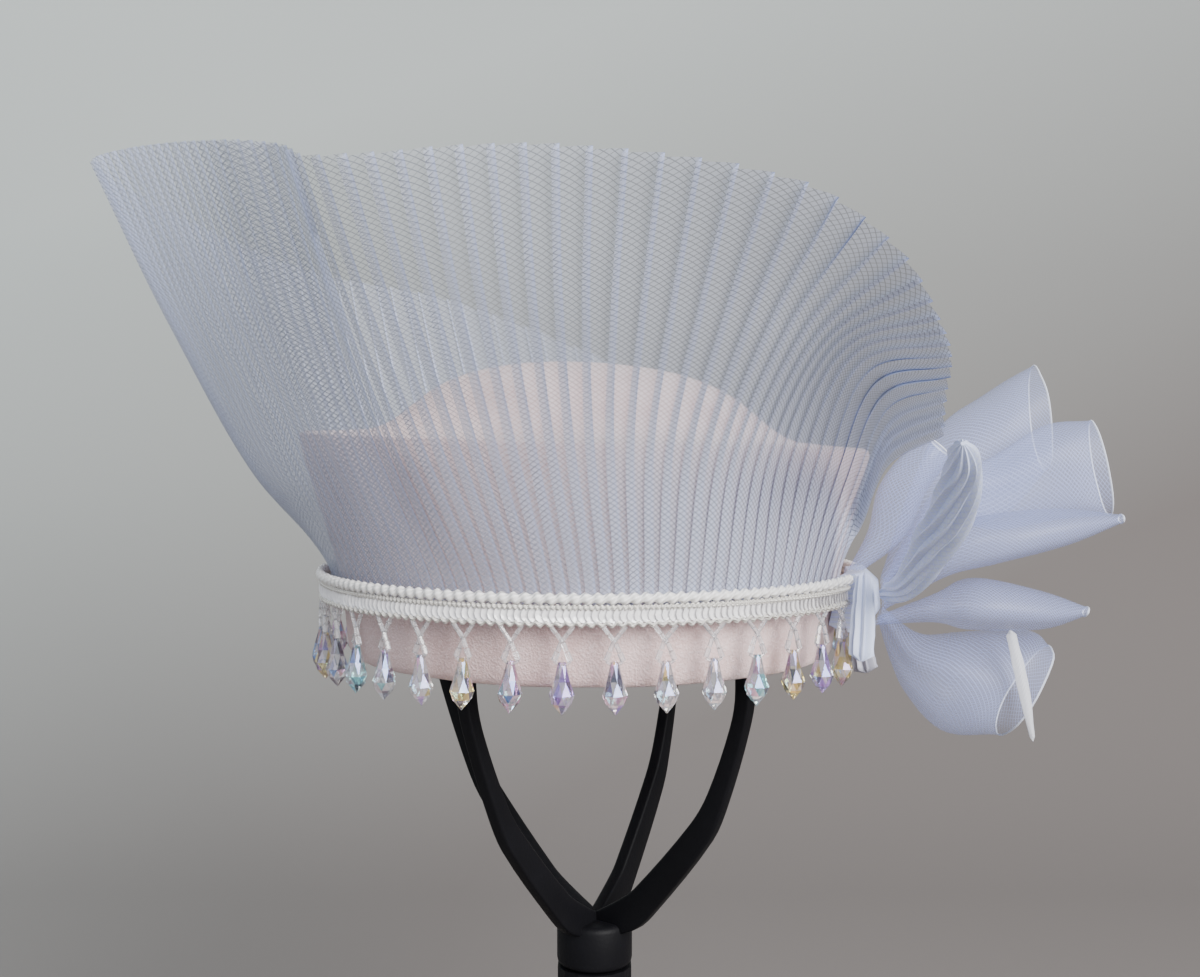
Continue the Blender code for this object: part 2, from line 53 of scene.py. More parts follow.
# Felt crown, from the middle of the tip down the outside and back up the inside
FELT = 2.0
CROWN_SIDES = 160
ProfilePoint = namedtuple("ProfilePoint", "radius height")
CROWN_PROFILE = (
    ProfilePoint(0.0, 22.3),
    ProfilePoint(12.0, 22.0),
    ProfilePoint(22.0, 21.0),
    ProfilePoint(31.0, 19.4),
    ProfilePoint(38.0, 17.5),
    ProfilePoint(45.0, 14.6),
    ProfilePoint(51.0, 11.0),
    ProfilePoint(56.5, 6.5),
    ProfilePoint(61.0, 2.8),
    ProfilePoint(65.5, -0.2),
    ProfilePoint(70.0, -1.8),
    ProfilePoint(80.0, -2.6),
    ProfilePoint(90.6, -3.1),
    ProfilePoint(92.2, -3.7),
    ProfilePoint(92.6, -5.2),
    ProfilePoint(91.0, -12.5),
    ProfilePoint(88.2, -21.8),
    ProfilePoint(84.7, -34.2),
    ProfilePoint(82.3, -43.0),
    ProfilePoint(81.0, -50.0),
    ProfilePoint(80.1, -58.0),
    ProfilePoint(79.3, -66.0),
)
BROAD_SWELL = 0.35
FINE_SWELL = 0.12
CROWN_LEAN = 0.032
CROWN_SHIFT = -1.9
LEAN_TOP = -5.2
LEAN_BOTTOM = -50.0
RIM_ROLL = (
    ProfilePoint(78.9, -69.2),
    ProfilePoint(78.1, -71.0),
    ProfilePoint(76.9, -71.6),
    ProfilePoint(75.7, -71.4),
    ProfilePoint(74.9, -70.2),
    ProfilePoint(74.6, -68.0),
)

# Pleated frill
PLEATS = 112
PLEAT_CLOTH = 9.8
FRILL_ROWS = 44
FOOT_RADIUS = 83.6
FOOT_HEIGHT = -52.5
COLLAR_RADIUS = 84.8
COLLAR_HEIGHT = -43.4
FOLD_DEPTH_FOOT = 0.35
FOLD_DEPTH_HEM = 0.75
LEAST_LAP = 0.9
WANDER_FREQUENCY = (1.7, 0.11)
WANDER = 0.35
PleatPoint = namedtuple("PleatPoint", "across out")
PLEAT_SHAPE = (
    PleatPoint(0.0, 1.0),
    PleatPoint(0.33, 0.55),
    PleatPoint(0.66, -0.25),
    PleatPoint(1.0, -1.0),
)
STRIP_WIDTH = 152.0
FOLD_BAND = 0.12
FOLD_COVER = 0.36
FOLD_BLUE = (0.58, 0.67, 1.0)
YARN_BOW = 0.16
HEM_EASE = 0.35
CREASE_BAND = 0.06
# Painted shade: colour of the darker line along each pleat's crease
CREASE_SHADE_GREY = (0.30, 0.33, 0.43)
END_PLEATS = 34.0
FOOT_CLOTH = 45.0
CROWD_COVER = 0.50
RIB_FRACTIONS = (0.0, 0.06, 0.37, 0.69, 1.0)
KeyRib = namedtuple("KeyRib", "bearing waist shoulder hem")
KEY_RIBS = (
    KeyRib(66, (85, -50, -24), (85.5, -80, -7), (90.5, -123, 1.6)),
    KeyRib(57, (83, -53, -15), (84, -90, 5.6), (88, -135, 11)),
    KeyRib(48, (73, -69.5, -6.5), (74, -114, 16), (85, -152, 19)),
    KeyRib(38, (58, -85, -6), (64, -128, 22), (79, -162, 28)),
    KeyRib(29, (47, -98, -5), (55, -138, 24), (68, -172, 41)),
    KeyRib(19, (33, -108, -4), (39, -148, 27), (45, -186, 52)),
    KeyRib(0, (-2, -114, -4), (-5, -152, 28), (-6, -184, 58)),
    KeyRib(-22, (-41, -106, -6), (-50, -144, 27), (-56, -178, 55)),
    KeyRib(-30, (-52, -94, -7), (-61, -126, 28), (-67, -158, 61)),
    KeyRib(-45, (-68, -82, -9), (-78, -118, 29), (-85, -145, 64)),
    KeyRib(-75, (-94, -40, -15), (-112, -65, 30), (-128, -80, 73)),
    KeyRib(-92, (-105, -10, -18), (-130, -28, 31), (-151, -38, 76)),
    KeyRib(-125, (-108, 50, -24), (-138, 55, 25), (-157, 48, 76)),
    KeyRib(-155, (-83, 92, -29), (-104, 120, 9), (-119, 132, 63)),
    KeyRib(-185, (-25, 104, -31), (-41, 138, 3), (-59, 176, 55)),
    KeyRib(-215, (29, 98, -32), (26, 138, -3), (24, 190, 26)),
    KeyRib(-240, (63, 74, -32), (79, 120, -19), (102, 175, -9)),
)

# Trim
TRIM_START = 64.5
TRIM_SWEEP = 334.5
TRIM_RADIUS = 86.4
TrimCord = namedtuple("TrimCord", "reach height thick_out thick_up pitch per_pitch sides swell wave")
BRAID = TrimCord(1.45, -45.7, 0.95, 1.15, 3.3, 8, 8, 0.45, 0.25)
CHAIN = TrimCord(1.0, -48.1, 0.65, 0.6, 1.5, 6, 6, 0.5, 0.2)
EDGING = TrimCord(0.9, -52.7, 0.6, 0.55, 2.8, 8, 6, 0.5, 0.42)
SEQUIN_HEIGHT = -50.2
SEQUIN_PITCH = 1.9
SEQUIN_RADIUS = 2.2
SEQUIN_TIP = 14.0
SEQUIN_SIDES = 12
SEQUIN_FLOOR = 0.62
SEQUIN_DEPTH = 0.35
DROPS = 36
DROP_SIDES = 8
FIRST_DROP = 61.0
DROP_PITCH = 9.38
DROP_TOP = -62.9
STRAND_TOP = -53.2
STRAND_CROSS = -57.4
STRAND_SHOULDER = -62.6
STRAND_FOOT = -63.9
STRAND_TOP_REACH = 3.2
STRAND_SHOULDER_REACH = 2.3
STRAND_FOOT_REACH = 0.7
BEAD = 0.62
LOWER_BEAD = 0.66
SHOULDER_BEAD = 0.80
FOOT_BEAD = 0.42

CordPoint = namedtuple("CordPoint", "place half_width half_depth")
BundleCloth = namedtuple("BundleCloth", "rings sides lobes twist lobe_depth rounded")
ROLL_CLOTH = BundleCloth(60, 66, 11, 130.0, 0.26, 0.12)
TUFT_LIGHT_CLOTH = BundleCloth(16, 48, 8, 0.0, 0.45, 0.02)
TUFT_DARK_CLOTH = BundleCloth(12, 48, 8, 0.0, 0.45, 0.02)
TAIL_CLOTH = BundleCloth(24, 24, 4, 0.0, 0.2, 0.02)
ROLL = (
    CordPoint((94.2, -129, 0), 3.2, 3.4),
    CordPoint((99, -110, -8), 5.2, 5.4),
    CordPoint((101, -90, -20), 6.6, 5.8),
    CordPoint((100, -72, -31), 6.0, 5.6),
    CordPoint((97.8, -54, -42), 4.2, 4.6),
    CordPoint((94.1, -36.9, -47), 2.8, 3.4),
)
TUFT_LIGHT = (
    CordPoint((88.3, -37.9, -40.5), 2.4, 1.8),
    CordPoint((87.2, -44.6, -52), 3.6, 2.3),
    CordPoint((86.4, -47.8, -66), 3.8, 2.2),
)
TUFT_DARK = (
    CordPoint((88.4, -28.4, -60.1), 2.6, 2.4),
    CordPoint((90, -30, -66), 3.4, 2.6),
    CordPoint((91.5, -31, -72), 3.8, 2.8),
)
TAIL = (
    CordPoint((132, -42.6, -55.8), 1.5, 0.7),
    CordPoint((136.5, -43, -73), 1.8, 0.7),
    CordPoint((140, -43, -89), 0.7, 0.6),
)
GATHER_SECTION = (
    ProfilePoint(80.3, -60.3),
    ProfilePoint(85.0, -62.3),
    ProfilePoint(90.3, -61.9),
    ProfilePoint(94.2, -56.3),
    ProfilePoint(93.8, -48.3),
    ProfilePoint(89.6, -44.3),
    ProfilePoint(83.9, -44.9),
)
GATHER_START = 67.0
GATHER_SWEEP = 21.0
GATHER_STEPS = 24
RIDGE_RADIUS = 84.0
RIDGES_PER_DEGREE = 2.3
RIDGE_DEPTH = 0.6
RIDGE_SINK = 0.5
LoopSection = namedtuple("LoopSection", "upper lower half_depth")
BOW_STATIONS = 34
BOW_SIDES = 40
CREASES = 5
CREASE_DEPTH = 0.07
RIPPLE = 0.10
BOW_EDGE = 0.32
BOW = {
    "bow_inner": (
        LoopSection((84.5, -31, -40.3), (89.3, -31, -40.3), 2.2),
        LoopSection((90, -33, -28), (101, -33, -30), 5.0),
        LoopSection((92.5, -35, -14), (107, -35, -15), 6.5),
        LoopSection((100, -37, -3), (111, -37, -8), 5.5),
        LoopSection((107, -38, 1), (113, -38, -4), 3.5),
    ),
    "bow_upper": (
        LoopSection((99.4, -8, -44), (99.8, -8, -48.5), 2.2),
        LoopSection((109, -3, -16), (112, -3, -37), 7.0),
        LoopSection((121, 5, 6), (128, 5, -30), 13.0),
        LoopSection((137, 9, 17.5), (144, 9, -24), 16.0),
        LoopSection((152, 9, 26), (157, 9, -8), 12.0),
    ),
    "bow_small": (
        LoopSection((98.2, -18, -44), (98.6, -18, -48), 2.0),
        LoopSection((112, -23, -16), (114, -23, -27), 5.0),
        LoopSection((132, -22, -4), (134, -22, -27), 7.0),
        LoopSection((148, -20, 6), (152, -20, -24), 9.0),
        LoopSection((162, -20, 8.5), (169, -20, -22), 7.0),
    ),
    "bow_middle": (
        LoopSection((96.4, -27, -49), (96.6, -27, -53), 2.0),
        LoopSection((109, -41, -27), (112, -41, -41), 7.0),
        LoopSection((128, -41, -21), (127, -41, -36.5), 13.0),
        LoopSection((148, -40, -18.5), (148, -40, -30), 10.0),
        LoopSection((166, -38, -20), (166, -38, -22.6), 2.4),
    ),
    "bow_lower": (
        LoopSection((95.3, -28, -54.6), (94.1, -28, -57.6), 1.8),
        LoopSection((110, -39, -46), (110, -39, -54.5), 7.5),
        LoopSection((122, -40, -40.5), (120, -40, -56), 14.0),
        LoopSection((141, -40, -43.5), (141, -40, -55.5), 11.0),
        LoopSection((156, -40, -48.4), (155, -40, -51), 2.4),
    ),
    "bow_bottom": (
        LoopSection((98.4, -16, -53), (97.2, -16, -57), 2.0),
        LoopSection((110, -20, -60.5), (101, -20, -70), 8.0),
        LoopSection((127, -20, -59.5), (106, -20, -79), 15.0),
        LoopSection((145, -21, -58.5), (118, -21, -91), 17.0),
        LoopSection((151, -22, -63), (135, -22, -92), 13.0),
    ),
}

# Stand
STAND_BEARINGS = (52.0, -31.0)
LoopPoint = namedtuple("LoopPoint", "radius height width")
LOOP_PROFILE = (
    LoopPoint(0.0, 19.7, 5.6),
    LoopPoint(15.0, 18.4, 5.6),
    LoopPoint(29.0, 13.8, 5.6),
    LoopPoint(41.0, 5.6, 5.6),
    LoopPoint(51.0, -6.0, 5.6),
    LoopPoint(58.6, -21.0, 5.6),
    LoopPoint(64.0, -39.0, 5.6),
    LoopPoint(66.6, -58.0, 5.6),
    LoopPoint(66.5, -80.0, 5.4),
    LoopPoint(63.6, -92.0, 5.2),
    LoopPoint(54.8, -115.0, 6.4),
    LoopPoint(48.0, -128.0, 8.0),
    LoopPoint(25.0, -154.5, 9.5),
    LoopPoint(16.5, -162.0, 10.5),
    LoopPoint(0.0, -168.0, 9.0),
)
LOOP_THICKNESS = 4.4
LOOP_STEP = 0.5
LOOP_FINENESS = 4
LOOP_SHIFT = -4.5
SHIFT_TOP = -76.0
SHIFT_BOTTOM = -160.0
STEM_RADIUS = 12.4
STEM_TOP = -161.0
STEM_BOTTOM = -176.0

hat_at = (Matrix.Scale(MM, 4) @ Matrix.Translation((AXIS_X, AXIS_Y, HAT_LEVEL + TILT_HEIGHT))
          @ Matrix.Rotation(math.radians(HAT_TILT), 4, "Y")
          @ Matrix.Translation((0.0, 0.0, -TILT_HEIGHT)))
level_at = Matrix.Scale(MM, 4) @ Matrix.Translation((AXIS_X + BASE_SHIFT, AXIS_Y, HAT_LEVEL))
stand_at = Matrix.Scale(MM, 4) @ Matrix.Translation((AXIS_X + STAND_SHIFT, AXIS_Y, HAT_LEVEL))
level_in_hat = hat_at.inverted() @ level_at


# Materials: shader maths as plain expressions

class Reading:
    """A number read from a node; arithmetic on it adds Math nodes."""

    def __init__(self, finish, socket):
        self.finish = finish
        self.socket = socket

    def mathed(self, operation, *values):
        node = self.finish.node("ShaderNodeMath", {"operation": operation}, dict(enumerate(values)))
        return Reading(self.finish, node.outputs[0])

    def __add__(self, other):
        return self.mathed("ADD", self, other)

    __radd__ = __add__

    def __sub__(self, other):
        return self.mathed("SUBTRACT", self, other)

    def __rsub__(self, other):
        return self.mathed("SUBTRACT", other, self)

    def __mul__(self, other):
        return self.mathed("MULTIPLY", self, other)

    __rmul__ = __mul__

    def __truediv__(self, other):
        return self.mathed("DIVIDE", self, other)

    def __mod__(self, other):
        return self.mathed("FLOORED_MODULO", self, other)

    def size(self):
        return self.mathed("ABSOLUTE", self)

    def sine(self):
        return self.mathed("SINE", self)

    def least(self, other):
        return self.mathed("MINIMUM", self, other)

    def most(self, other):
        return self.mathed("MAXIMUM", self, other)

    def step(self, low, high):
        """0 below low, 1 above high, smooth between; low may be the larger."""
        node = self.finish.node("ShaderNodeMapRange", {"interpolation_type": "SMOOTHSTEP"},
                                {"Value": self, "From Min": low, "From Max": high})
        return Reading(self.finish, node.outputs[0])


class Finish:
    """One material, put together from readings over its surface."""

    def __init__(self, name, **constants):
        self.material = bpy.data.materials.new(name)
        self.material.use_nodes = True
        self.tree = self.material.node_tree
        self.shader = self.tree.nodes["Principled BSDF"]
        for socket, value in constants.items():
            self.feed(self.shader, socket.replace("_", " "), value)

    def feed(self, node, key, value):
        socket = node.inputs[key]
        if isinstance(value, Reading):
            self.tree.links.new(value.socket, socket)
        elif isinstance(value, bpy.types.NodeSocket):
            self.tree.links.new(value, socket)
        elif socket.type == "RGBA" and len(value) == 3:
            socket.default_value = (*value, 1.0)
        else:
            socket.default_value = value

    def node(self, kind, settings=None, inputs=None):
        made = self.tree.nodes.new(kind)
        for key, value in (settings or {}).items():
            setattr(made, key, value)
        for key, value in (inputs or {}).items():
            self.feed(made, key, value)
        return made

    def surface(self, **readings):
        for socket, value in readings.items():
            self.feed(self.shader, socket.replace("_", " "), value)
        return self

    def place(self):
        """The place on the object, in metres."""
        return self.node("ShaderNodeTexCoord").outputs["Object"]

    def weave(self):
        """Across and along the cloth, in millimetres."""
        cloth = self.node("ShaderNodeUVMap", {"uv_map": "weave"})
        parts = self.node("ShaderNodeSeparateXYZ", None, {0: cloth.outputs[0]})
        return Reading(self, parts.outputs[0]), Reading(self, parts.outputs[1])

    def grain(self, scale, detail=2.0, place=None):
        made = self.node("ShaderNodeTexNoise", None,
                         {"Vector": place or self.place(), "Scale": scale, "Detail": detail})
        return Reading(self, made.outputs["Fac"])

    def mixed(self, factor, first, second):
        made = self.node("ShaderNodeMix", {"data_type": "RGBA"}, {0: factor, 6: first, 7: second})
        return made.outputs[2]

    def bump(self, height, strength, distance):
        made = self.node("ShaderNodeBump", None,
                         {"Height": height, "Strength": strength, "Distance": distance})
        return made.outputs[0]


def net_finish(name, rise, spacing, haze, strand, pale, dark, pleat=None, dark_cover=0.7,
               pale_cover=0.55):
    """Open net: two crossing sets of yarn over a faint haze of finer ones.

    rise is how steeply the yarns climb, spacing their pitch along the cloth, strand their half width."""
    finish = Finish(name, Roughness=0.42, Specular_IOR_Level=0.5)
    across, along = finish.weave()
    fold = 0.0
    crowd = 0.0
    if pleat:
        run_together = (across / pleat).step(END_PLEATS, END_PLEATS * 0.3)
        crowd = run_together - along.step(FOOT_CLOTH, 0.0) * 0.25
        within = (across % pleat) / pleat
        fold = (within.step(FOLD_BAND, 0.0)).most(within.step(1.0 - FOLD_BAND, 1.0))
        bowed = (within + (within * math.pi).sine() * YARN_BOW) * pleat
        slope = rise - (along * (1.0 / STRIP_WIDTH)).step(0.45, 1.0) * (rise * HEM_EASE)
        up = (along - bowed * slope) / spacing
        down = (along + across * (rise * 0.7)) / spacing
    else:
        up = (along - across * rise) / spacing
        down = (along + across * rise) / spacing
    from_up = ((up % 1.0) - 0.5).size()
    from_down = ((down % 1.0) - 0.5).size()
    edge = strand * 0.4
    core = from_up.step(strand + edge, strand - edge)
    cross = from_down.step(strand + edge, strand - edge)
    light = from_up.step(strand * 2.6 + edge, strand * 2.6 - edge)
    dense = haze + fold * FOLD_COVER + crowd * CROWD_COVER
    shade = finish.mixed(core.most(cross * 0.8) * (1.0 - fold * 0.8), pale, dark)
    if pleat:
        shade = finish.mixed(fold * 0.75, shade, FOLD_BLUE)
        # Painted shade: each pleat's crease is painted a darker grey; the same band also thickens the
        # cover there.
        crease = within.step(CREASE_BAND, 0.0)
        shade = finish.mixed(crease * 0.75, shade, CREASE_SHADE_GREY)
        dense = dense + crease * 0.25
    cover = (core * dark_cover).most(cross * pale_cover).most(light * (pale_cover * 0.6)).most(dense)
    finish.surface(Base_Color=shade, Alpha=cover)
    return finish.material


def felt_finish():
    finish = Finish("blush_felt", Roughness=0.95, Specular_IOR_Level=0.15, Sheen_Weight=0.35,
                    Sheen_Roughness=0.5, Sheen_Tint=(1.0, 0.95, 0.92))
    fuzz = finish.grain(1500.0, 4.0)
    cloud = finish.grain(60.0, 3.0)
    warm = finish.mixed(cloud.step(0.3, 0.7), (0.68, 0.475, 0.46), (0.79, 0.595, 0.585))
    colour = finish.mixed(fuzz.step(0.45, 0.7) * 0.5, warm, (0.92, 0.78, 0.79))
    return finish.surface(Base_Color=colour,
                          Normal=finish.bump(fuzz * 1.5 + cloud * 2.5, 0.7, 0.0006)).material


def braid_finish():
    finish = Finish("ivory_braid", Roughness=0.38, Specular_IOR_Level=0.6)
    across, along = finish.weave()
    ply = ((across * 5.2 + along * 3.0)).sine() * 0.5 + 0.5
    colour = finish.mixed(ply, (0.86, 0.84, 0.81), (1.0, 0.99, 0.98))
    return finish.surface(Base_Color=colour, Normal=finish.bump(ply, 0.6, 0.0004)).material


def thread_finish():
    finish = Finish("pale_gold_thread", Metallic=0.2, Roughness=0.3)
    across, along = finish.weave()
    ply = ((across * 7.0 + along * 4.0)).sine() * 0.5 + 0.5
    colour = finish.mixed(ply, (0.76, 0.73, 0.66), (0.98, 0.96, 0.92))
    return finish.surface(Base_Color=colour, Normal=finish.bump(ply, 0.7, 0.0004)).material


def sequin_finish():
    finish = Finish("clear_white_sequin", Roughness=0.12, Specular_IOR_Level=0.7, Coat_Weight=0.6,
                    Coat_Roughness=0.05)
    tint = finish.grain(420.0, 1.0)
    colour = finish.mixed(tint.step(0.35, 0.65), (0.90, 0.89, 0.91), (1.0, 0.99, 1.0))
    return finish.surface(Base_Color=colour, Alpha=0.93).material


def crystal_finish():
    """Clear cut glass with a thin iridescent coat; the tint changes from facet to facet as painted
    reflections: the coat's rainbow colours fixed per facet, and dark facets.
    """
    finish = Finish("coated_crystal", Roughness=0.03, IOR=1.54, Transmission_Weight=0.86,
                    Thin_Film_Thickness=320.0, Thin_Film_IOR=1.8, Coat_Weight=0.5, Coat_Roughness=0.02)
    tint = finish.node("ShaderNodeAttribute", {"attribute_name": "tint"})
    return finish.surface(Base_Color=tint.outputs["Color"]).material


def bead_finish():
    finish = Finish("clear_bead", Roughness=0.06, IOR=1.45, Transmission_Weight=0.78,
                    Coat_Weight=0.6, Base_Color=(0.98, 0.98, 1.0))
    return finish.surface().material


def satin_finish():
    finish = Finish("white_satin", Roughness=0.32, Specular_IOR_Level=0.6)
    across, along = finish.weave()
    rib = (across * 6.0).sine() * 0.5 + 0.5
    colour = finish.mixed(rib, (0.62, 0.64, 0.72), (0.90, 0.91, 0.95))
    return finish.surface(Base_Color=colour, Alpha=0.55 + rib * 0.25,
                          Normal=finish.bump(rib, 0.3, 0.0003)).material


def stand_finish():
    finish = Finish("satin_black", Specular_IOR_Level=0.12)
    grain = finish.grain(900.0, 3.0)
    wear = finish.grain(35.0, 4.0)
    colour = finish.mixed(wear, (0.0025, 0.0025, 0.003), (0.006, 0.006, 0.008))
    return finish.surface(Base_Color=colour, Roughness=0.40 + wear * 0.22,
                          Normal=finish.bump(grain, 0.25, 0.0003)).material


def stage_finish():
    finish = Finish("pale_wall_painted_light", Roughness=0.95, Specular_IOR_Level=0.1)
    spot = finish.node("ShaderNodeSeparateXYZ", None, {0: finish.place()})
    sideways, height = Reading(finish, spot.outputs[0]), Reading(finish, spot.outputs[2])
    # Painted light: the wall and floor are painted lighter higher up and to the left, and darker low
    # down and to the right, standing in for the fall of the lamp light.
    light = (height * 1.37 - sideways * 0.50 - 0.05).most(0.0).least(1.0)
    colour = finish.mixed(light, (0.188, 0.170, 0.163), (0.465, 0.495, 0.487))
    return finish.surface(Base_Color=colour,
                          Normal=finish.bump(finish.grain(500.0, 2.0), 0.05, 0.0005)).material


# Shapes

def around(bearing, radius, height):
    turn = math.radians(bearing)
    return Vector((radius * math.sin(turn), -radius * math.cos(turn), height))


def flow(keys, values, at):
    """Smooth curve through values at increasing keys, read at one place."""
    last = len(keys) - 1
    index = max(0, min(last - 1, sum(1 for key in keys[1:-1] if key <= at)))

    def slope(i):
        low, high = max(0, i - 1), min(last, i + 1)
        return (values[high] - values[low]) / (keys[high] - keys[low])

    span = keys[index + 1] - keys[index]
    t = (at - keys[index]) / span
    rise = 3 * t * t - 2 * t ** 3
    start = (t ** 3 - 2 * t * t + t) * span
    end = (t ** 3 - t * t) * span
    return (values[index] * (1 - rise) + values[index + 1] * rise
            + slope(index) * start + slope(index + 1) * end)


def finish_piece(name, bm, material, replaced=(), place=hat_at, smooth=60.0, normals=True):
    if normals:
        bmesh.ops.recalc_face_normals(bm, faces=bm.faces[:])
    bmesh.ops.transform(bm, matrix=place, verts=bm.verts[:])
    mesh = bpy.data.meshes.new(name)
    bm.to_mesh(mesh)
    bm.free()
    mesh.materials.append(material)
    if smooth:
        mesh.shade_smooth()
        mesh.set_sharp_from_angle(angle=math.radians(smooth))
    piece = bpy.data.objects.new(name, mesh)
    bpy.context.scene.collection.objects.link(piece)
    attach(piece, "root")
    if replaced:
        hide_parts(*replaced)
    return piece


def cloth_grid(places, weaves, closed=False):
    """A sheet through a grid of places, with its place in the cloth kept as a UV map."""
    rows, columns = len(places), len(places[0])
    bm = bmesh.new()
    layer = bm.loops.layers.uv.new("weave")
    bmesh.ops.create_grid(bm, x_segments=columns - 1, y_segments=rows - 1, size=1.0)
    bm.verts.ensure_lookup_table()
    for row in range(rows):
        for column in range(columns):
            bm.verts[row * columns + column].co = places[row][column]
    for face in bm.faces:
        for loop in face.loops:
            row, column = divmod(loop.vert.index, columns)
            loop[layer].uv = weaves[row][column]
    if closed:
        bmesh.ops.remove_doubles(bm, verts=bm.verts[:], dist=0.001)
    return bm


def turned(profile, sides):
    bm = bmesh.new()
    verts = [bm.verts.new((p.radius, 0.0, p.height)) for p in profile]
    edges = [bm.edges.new(pair) for pair in zip(verts, verts[1:])]
    bmesh.ops.spin(bm, geom=verts + edges, cent=(0, 0, 0), axis=(0, 0, 1),
                   angle=math.tau, steps=sides, use_merge=True)
    bmesh.ops.remove_doubles(bm, verts=bm.verts[:], dist=0.001)
    return bm


def offset_inwards(profile, walls):
    inner = []
    for i, point in enumerate(profile):
        before = profile[max(0, i - 1)]
        after = profile[min(len(profile) - 1, i + 1)]
        along = Vector((after.radius - before.radius, after.height - before.height)).normalized()
        inward = Vector((along.y, -along.x)) * walls[i]
        inner.append(ProfilePoint(max(0.0, point.radius + inward.x), point.height + inward.y))
    return inner


def between(low, high, value):
    return max(0.0, min(1.0, (value - low) / (high - low)))


def felt_crown():
    inner = offset_inwards(CROWN_PROFILE, [FELT] * len(CROWN_PROFILE))
    bm = turned(list(CROWN_PROFILE + RIM_ROLL) + inner[::-1], CROWN_SIDES)
    for vert in bm.verts:
        swell = noise.noise(vert.co * 0.03) * BROAD_SWELL + noise.noise(vert.co * 0.11) * FINE_SWELL
        vert.co += vert.co.normalized() * swell
        share = between(LEAN_BOTTOM, LEAN_TOP, vert.co.z)
        vert.co += Vector((CROWN_SHIFT, 0.0, -vert.co.x * CROWN_LEAN)) * share
    return bm


def rib_points(bearing):
    free = [flow(RIB_KEYS, RIB_VALUES[part], bearing) for part in ("waist", "shoulder", "hem")]
    sewn = [level_in_hat @ around(bearing, FOOT_RADIUS, FOOT_HEIGHT),
            level_in_hat @ around(bearing, COLLAR_RADIUS, COLLAR_HEIGHT)]
    return sewn + free


RIB_KEYS = [rib.bearing for rib in sorted(KEY_RIBS)]
RIB_VALUES = {part: [Vector(getattr(rib, part)) for rib in sorted(KEY_RIBS)]
              for part in ("waist", "shoulder", "hem")}
FIRST_RIB = KEY_RIBS[0].bearing
LAST_RIB = KEY_RIBS[-1].bearing


def pleated_frill():
    """Knife pleats: each panel runs from a front fold to a back fold, and laps under the next one."""
    stations = [row / (FRILL_ROWS - 1) for row in range(FRILL_ROWS)]
    bearings = [FIRST_RIB + (LAST_RIB - FIRST_RIB) * i / PLEATS for i in range(PLEATS + 1)]
    ribs = [[flow(RIB_FRACTIONS, rib_points(bearing), station) for station in stations]
            for bearing in bearings]
    places, weaves = [], []
    for row, station in enumerate(stations):
        depth = FOLD_DEPTH_FOOT + (FOLD_DEPTH_HEM - FOLD_DEPTH_FOOT) * station
        line, cloth = [], []
        for i in range(PLEATS):
            pitch = (ribs[i + 1][row] - ribs[i][row]).length
            lap = max(LEAST_LAP, (PLEAT_CLOTH - pitch) / 2)
            along = sum((ribs[i][k + 1] - ribs[i][k]).length for k in range(row))
            wander = noise.noise(Vector((i * WANDER_FREQUENCY[0], row * WANDER_FREQUENCY[1], 0.0)))
            for part, out in PLEAT_SHAPE:
                spot = i - lap / 2 / pitch + part * (1 + lap / pitch)
                spot = max(0.0, min(PLEATS, spot))
                low = min(PLEATS - 1, int(spot))
                left, right = ribs[low][row], ribs[low + 1][row]
                here = left.lerp(right, spot - low)
                up = ribs[low][min(row + 1, FRILL_ROWS - 1)] - ribs[low][max(row - 1, 0)]
                outward = (right - left).cross(up).normalized()
                line.append(here + outward * (depth * (out + wander * WANDER)))
                cloth.append((PLEAT_CLOTH * i + part * (pitch + lap), along))
        places.append(line)
        weaves.append(cloth)
    return cloth_grid(places, weaves)


def sweep_frame(points, t):
    """Place and axes of a cord's section at t from 0 to 1 along its points."""
    keys = [i / (len(points) - 1) for i in range(len(points))]
    spots = [Vector(p.place) for p in points]
    place = flow(keys, spots, t)
    ahead = flow(keys, spots, min(1.0, t + 0.01)) - flow(keys, spots, max(0.0, t - 0.01))
    along = ahead.normalized()
    side = along.cross(Vector((0, 1, 0))).normalized()
    depth = along.cross(side)
    wide = flow(keys, [p.half_width for p in points], t)
    deep = flow(keys, [p.half_depth for p in points], t)
    return place, side, depth, wide, deep


def pleated_bundle(points, bundle):
    """A bundle of pleats run together: a lobed outline turned along a cord, its ends rounded off."""
    places, weaves = [], []
    for r in range(bundle.rings):
        t = r / (bundle.rings - 1)
        place, side, depth, wide, deep = sweep_frame(points, t)
        near_end = max(0.0, 1.0 - min(t, 1.0 - t) / bundle.rounded)
        shrink = math.sqrt(1.0 - 0.97 * near_end ** 2)
        line, cloth = [], []
        for k in range(bundle.sides + 1):
            turn = math.tau * (k % bundle.sides) / bundle.sides
            lobe = 1.0 - bundle.lobe_depth * (0.5 - 0.5 * math.cos(bundle.lobes * turn))
            lobe += noise.noise(Vector((math.cos(turn) * 2, math.sin(turn) * 2, t * 9))) * 0.10
            lobe *= shrink
            angle = turn + math.radians(bundle.twist) * t
            line.append(place + side * (math.cos(angle) * wide * lobe)
                        + depth * (math.sin(angle) * deep * lobe))
            cloth.append((k * 26.0 / bundle.sides, t * 60.0))
        places.append(line)
        weaves.append(cloth)
    bm = cloth_grid(places, weaves, closed=True)
    rims = [edge for edge in bm.edges if edge.is_boundary]
    bmesh.ops.holes_fill(bm, edges=rims, sides=0)
    return bm


